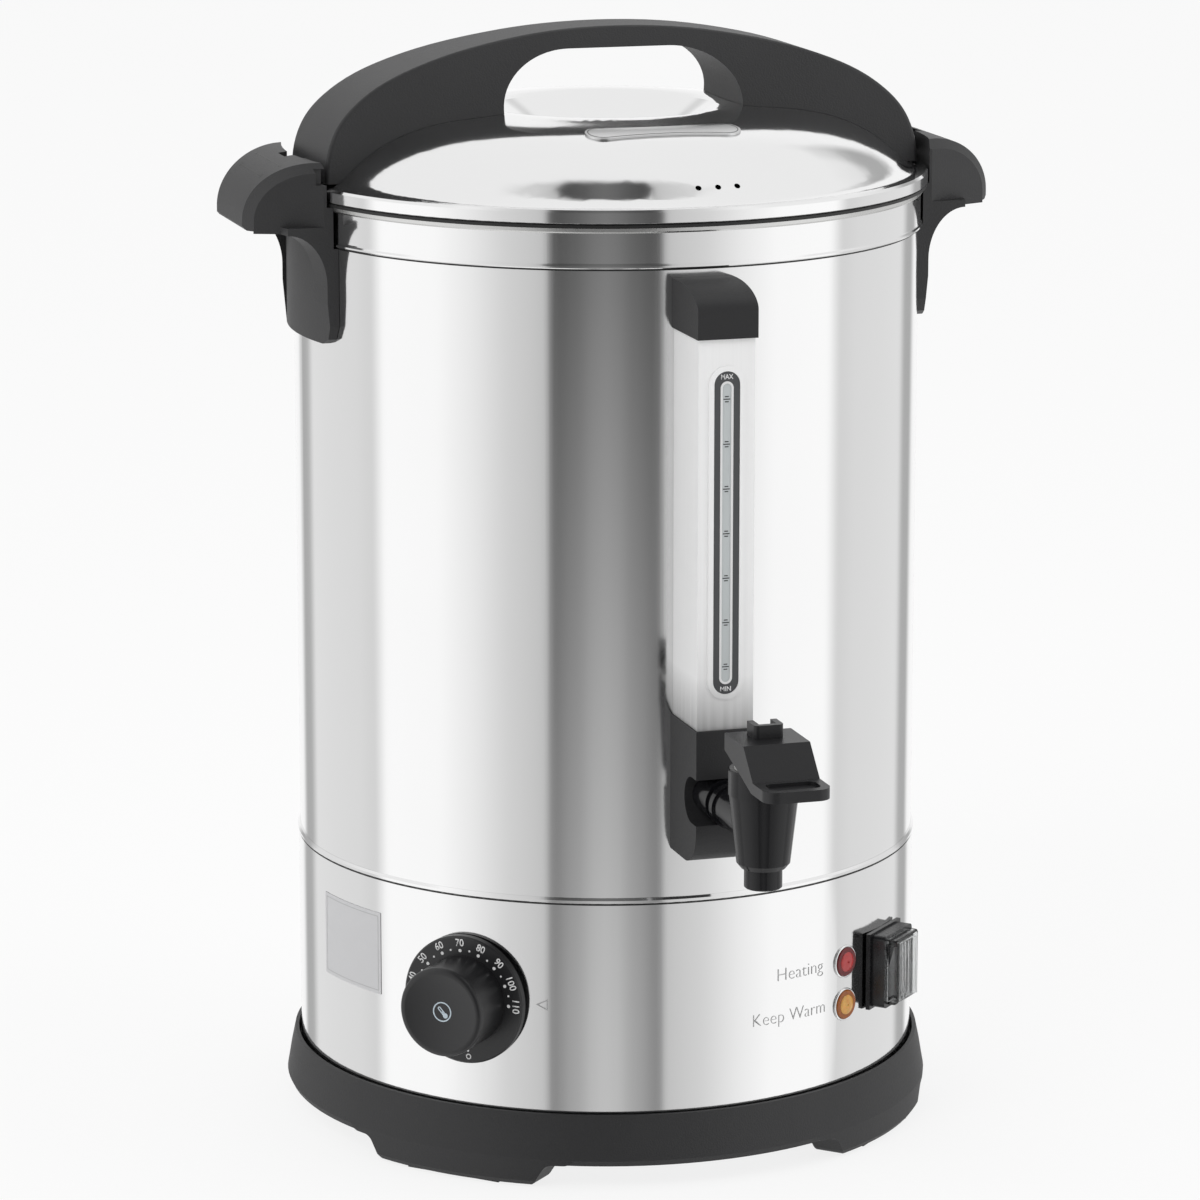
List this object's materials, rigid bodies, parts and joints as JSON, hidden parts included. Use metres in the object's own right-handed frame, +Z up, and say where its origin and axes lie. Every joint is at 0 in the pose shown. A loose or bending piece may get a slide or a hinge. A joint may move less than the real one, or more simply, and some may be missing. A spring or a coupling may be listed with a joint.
{
  "type": "hot water urn",
  "caption": "Upright cylindrical hot water urn with a domed bayonet lid and bow handle, wing side handles, lever tap, sight gauge column, dial and rocker switch.",
  "frame": {"origin": "on the urn's vertical axis at floor level", "axes": "+Z up; the tap faces -Y; the side handles lie along +X and -X"},
  "size_m": [0.332, 0.4028, 0.4761],
  "materials": {
    "base_plastic": "fine textured black",
    "foot_rubber": "matt",
    "galvanised": "galvanised sheet",
    "screw_steel": "zinc plated",
    "polished_steel": "polished stainless sheet with a vertical grain",
    "lid_steel": "polished spun stainless sheet",
    "tank_steel": "drawn stainless sheet",
    "seal_rubber": "silicone",
    "badge": "satin plate",
    "handle_plastic": "fine textured black",
    "brushed_steel": "vertical brushing",
    "bezel_print": "printed strip",
    "clear_strip": "clear",
    "tube_glass": "clear",
    "block_plastic": "fine textured black",
    "elbow_plastic": "natural",
    "tap_plastic": "satin black",
    "gland_grey": "light grey",
    "pin_steel": "stainless",
    "stem_plastic": "natural",
    "knob_plastic": "satin black with white print",
    "thermostat_case": "moulded",
    "lamp_red": "translucent",
    "lamp_amber": "translucent",
    "lamp_holder": "natural",
    "switch_black": "black",
    "rocker": "black",
    "clear_cover": "clear silicone",
    "terminals": "tinned brass",
    "inlet_plastic": "black",
    "element_aluminium": "cast",
    "element_steel": "annealed tube",
    "reset_red": "red",
    "wire_black": "insulated"
  },
  "bodies": {
    "urn": {"base_ring": "base_plastic", "foot_pads": "foot_rubber", "base_plate": "galvanised", "heat_shield": "galvanised", "outside_screws": "screw_steel", "inside_screws": "screw_steel", "element_clamp": "screw_steel", "lower_housing": "polished_steel", "outer_shell": "polished_steel", "joint_ring": "polished_steel", "rim_collar": "polished_steel", "inner_tank": "tank_steel", "thermostat_bulb": "tank_steel", "gauge_seals": "seal_rubber", "tap_washers": "seal_rubber", "side_handle_right": "handle_plastic", "side_handle_left": "handle_plastic", "gauge_channel": "brushed_steel", "gauge_bezel": "bezel_print", "gauge_window": "clear_strip", "sight_tube": "tube_glass", "gauge_cap": "block_plastic", "tap_block": "block_plastic", "gauge_elbow": "elbow_plastic", "reset_guide": "elbow_plastic", "tap_body": "tap_plastic", "tap_bonnet": "tap_plastic", "tap_collar": "tap_plastic", "tap_shank": "tap_plastic", "tap_nuts": "tap_plastic", "tap_gland": "gland_grey", "tap_pivot_pin": "pin_steel", "tap_spring": "pin_steel", "thermostat_body": "thermostat_case", "thermal_cutout": "thermostat_case", "terminal_block": "thermostat_case", "lamp_red": "lamp_red", "lamp_amber": "lamp_amber", "lamp_holders": "lamp_holder", "switch_frame": "switch_black", "switch_cover": "clear_cover", "switch_terminals": "terminals", "inlet_pins": "terminals", "inlet_socket": "inlet_plastic", "element_plate": "element_aluminium", "heating_element": "element_steel", "wiring": "wire_black"},
    "lid_seal": {"lid_seal": "seal_rubber"},
    "lid": {"lid_pan": "lid_steel", "lid_badge": "badge", "lid_handle": "handle_plastic", "lid_handle_screws": "screw_steel"},
    "tap_lever": {"tap_lever": "tap_plastic", "tap_lift_pin": "pin_steel"},
    "tap_valve": {"tap_stem": "stem_plastic", "tap_seat": "seal_rubber"},
    "knob": {"thermostat_knob": "knob_plastic", "thermostat_shaft": "pin_steel"},
    "rocker": {"switch_rocker": "rocker"},
    "reset_button": {"reset_button": "reset_red"}
  },
  "joints": [
    {"name": "lid_lift", "type": "slide", "parent": "urn", "child": "lid_seal", "axis": [0, 0, 1], "range_m": [0, 0.12]},
    {"name": "lid_turn", "type": "hinge", "parent": "lid_seal", "child": "lid", "pos_m": [0, 0, 0.41], "axis": [0, 0, 1], "range_deg": [0, 10]},
    {"name": "tap_lever", "type": "hinge", "parent": "urn", "child": "tap_lever", "pos_m": [0, -0.2265, 0.2055], "axis": [1, 0, 0], "range_deg": [0, 20], "stiffness_Nm_per_rad": 0.4, "springref_deg": -11.46},
    {"name": "tap_valve", "type": "slide", "parent": "urn", "child": "tap_valve", "axis": [0, 0, 1], "range_m": [0, 0.00343], "deforming": ["tap_spring"]},
    {"name": "dial_turn", "type": "hinge", "parent": "urn", "child": "knob", "pos_m": [-0.09148, -0.09983, 0.0785], "axis": [-0.6756, -0.7373, 0], "range_deg": [-275, 0]},
    {"name": "rocker_tilt", "type": "hinge", "parent": "urn", "child": "rocker", "pos_m": [0.09701, -0.09871, 0.0765], "axis": [-0.7133, -0.7009, 0], "range_deg": [0, 16]},
    {"name": "reset_press", "type": "slide", "parent": "urn", "child": "reset_button", "axis": [0, 0, 1], "range_m": [0, 0.002], "stiffness_N_per_m": 200, "springref_m": -0.004}
  ],
  "couplings": [
    {"joint": "tap_valve", "follows": "tap_lever", "m_per_rad": 0.0098}
  ]
}
